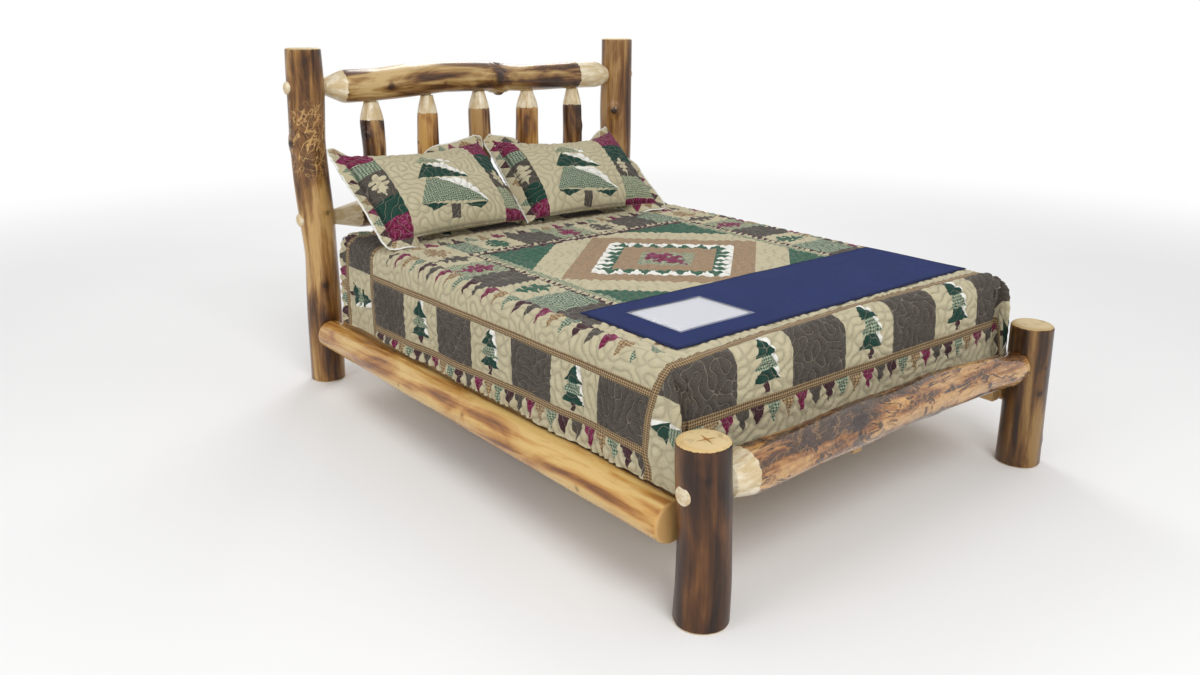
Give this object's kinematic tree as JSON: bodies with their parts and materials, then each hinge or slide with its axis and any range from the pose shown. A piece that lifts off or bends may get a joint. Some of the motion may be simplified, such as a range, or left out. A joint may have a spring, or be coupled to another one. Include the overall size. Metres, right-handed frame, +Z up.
{
  "type": "log bed",
  "caption": "Rustic log bed with peeled-log posts and rails, coned headboard spindles, slatted base, low foundation, mattress, patchwork quilt, shams and a foot mat.",
  "frame": {"origin": "on the floor at the middle of the bed, under the crossing of its two middle lines", "axes": "+X across the bed to the right of someone who stands at its foot and looks at the headboard, +Y from the foot to the headboard, +Z up"},
  "size_m": [1.7534, 2.4123, 1.392],
  "materials": {
    "golden_log": "satin lacquer over peeled wood with dark streaks",
    "tan_log": "satin lacquer over peeled wood",
    "grey_tan_log": "satin lacquer over peeled wood with brown blotches",
    "dark_log": "satin lacquer over dark inner bark",
    "figured_log": "glossy lacquer over highly figured wood",
    "pale_log": "satin lacquer over pale wood",
    "sawn_pine": "planed, unfinished",
    "dowel": "smooth",
    "zinc_steel": "zinc plated",
    "glide_nylon": "matte",
    "foundation_cloth": "woven, plain",
    "mattress_foam": "foam and wadding",
    "mattress_ticking": "quilted knit",
    "quilt_cotton": "washed patchwork cotton",
    "pillow_fill": "plain cotton over fibre",
    "sham_cotton": "washed patchwork cotton",
    "mat_cotton": "closely woven navy cotton",
    "clear_vinyl": "clear, glossy",
    "card_paper": "matte"
  },
  "bodies": {
    "frame": {"footboard_left_post": "dark_log", "footboard_rail": "figured_log", "footboard_right_post": "tan_log", "foundation_cover": "foundation_cloth", "foundation_frame": "sawn_pine", "headboard_bottom_rail": "tan_log", "headboard_left_post": "golden_log", "headboard_right_post": "tan_log", "headboard_spindle_1": "golden_log", "headboard_spindle_2": "golden_log", "headboard_spindle_3": "golden_log", "headboard_spindle_4": "golden_log", "headboard_spindle_5": "golden_log", "headboard_top_rail": "grey_tan_log", "ledger_screws": "zinc_steel", "left_ledger": "sawn_pine", "left_side_rail": "pale_log", "leg_glides": "glide_nylon", "leg_pins": "dowel", "middle_beam": "sawn_pine", "middle_leg_1": "sawn_pine", "middle_leg_2": "sawn_pine", "plate_screws": "zinc_steel", "post_slot_plates": "zinc_steel", "rail_hook_plates": "zinc_steel", "right_ledger": "sawn_pine", "right_side_rail": "pale_log", "slat_1": "sawn_pine", "slat_2": "sawn_pine", "slat_3": "sawn_pine", "slat_4": "sawn_pine", "slat_5": "sawn_pine", "slat_6": "sawn_pine", "slat_7": "sawn_pine", "slat_8": "sawn_pine", "slat_9": "sawn_pine", "slat_screws": "zinc_steel"},
    "mattress": {"mattress_core": "mattress_foam", "mattress_cover": "mattress_ticking", "quilt": "quilt_cotton"},
    "left_pillow_body": {"left_pillow": "pillow_fill", "left_sham": "sham_cotton"},
    "right_pillow_body": {"right_pillow": "pillow_fill", "right_sham": "sham_cotton"},
    "foot_mat_body": {"foot_mat": "mat_cotton", "card_pocket": "clear_vinyl", "blank_card": "card_paper"}
  },
  "joints": [
    {"name": "mattress_lift", "type": "slide", "parent": "frame", "child": "mattress", "axis": [0, 0, 1], "range_m": [0, 0.12]},
    {"name": "left_pillow_lift", "type": "slide", "parent": "mattress", "child": "left_pillow_body", "axis": [0, -0.5, 0.866], "range_m": [0, 0.45]},
    {"name": "right_pillow_lift", "type": "slide", "parent": "mattress", "child": "right_pillow_body", "axis": [0, -0.5, 0.866], "range_m": [0, 0.45]},
    {"name": "foot_mat_lift", "type": "slide", "parent": "mattress", "child": "foot_mat_body", "axis": [0, 0, 1], "range_m": [0, 0.3]}
  ]
}
